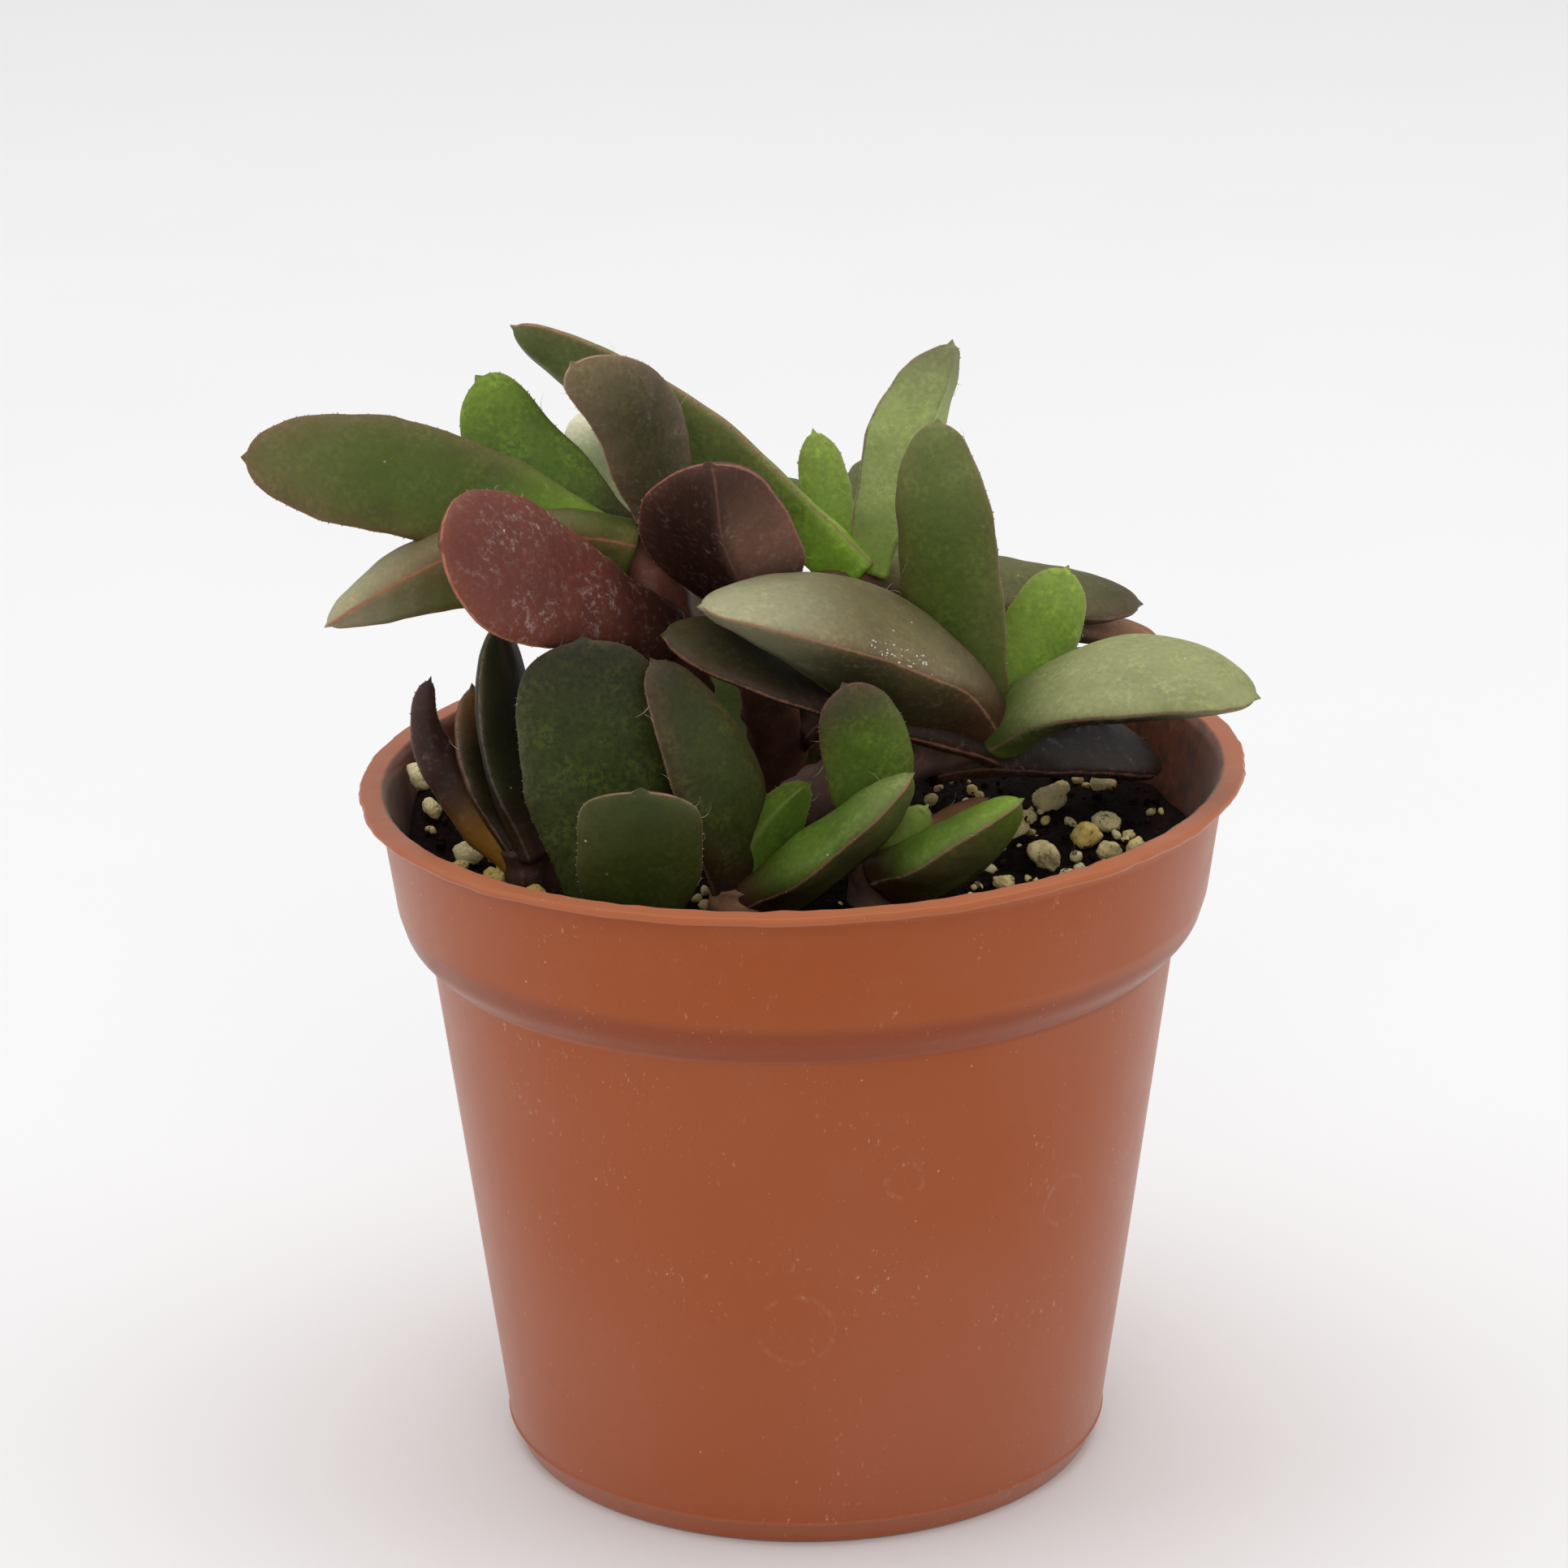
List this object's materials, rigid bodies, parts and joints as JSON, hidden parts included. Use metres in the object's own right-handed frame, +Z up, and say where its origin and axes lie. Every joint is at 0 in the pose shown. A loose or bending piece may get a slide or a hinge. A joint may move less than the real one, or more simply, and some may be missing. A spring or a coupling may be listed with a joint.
{
  "type": "potted gasteria rawlinsonii",
  "caption": "Small succulent with thick strap leaves on short leaning stems, in a round tapered plastic pot of potting mix with pumice.",
  "frame": {"origin": "centre of the pot's flat underside", "axes": "+Z up; -Y towards the side seen from the front; +X to the right"},
  "size_m": [0.0952, 0.085, 0.1103],
  "materials": {
    "pot_plastic": "moulded terracotta-brown plastic, satin, with pale specks and dust",
    "potting_mix": "dark damp potting mix with cream pumice stones",
    "leaf_left": "thick waxy leaf, mottled dark green with purple-brown margins",
    "leaf_middle": "thick waxy leaf, mottled dark green with purple-brown margins",
    "leaf_right": "thick waxy leaf, mottled dark green with purple-brown margins",
    "leaf_front_left": "thick waxy leaf, mottled dark green with purple-brown margins",
    "leaf_left_edge": "thick waxy leaf, mottled dark green with purple-brown margins",
    "leaf_front": "thick waxy leaf, mottled dark green with purple-brown margins",
    "leaf_front_right": "thick waxy leaf, mottled dark green with purple-brown margins",
    "leaf_back": "thick waxy leaf, mottled dark green with purple-brown margins"
  },
  "bodies": {
    "root": {"pot": "pot_plastic", "soil": "potting_mix", "shoot_left": "leaf_left", "shoot_middle": "leaf_middle", "shoot_right": "leaf_right", "shoot_front_left": "leaf_front_left", "shoot_left_edge": "leaf_left_edge", "shoot_front": "leaf_front", "shoot_front_right": "leaf_front_right", "shoot_back": "leaf_back"}
  },
  "joints": []
}
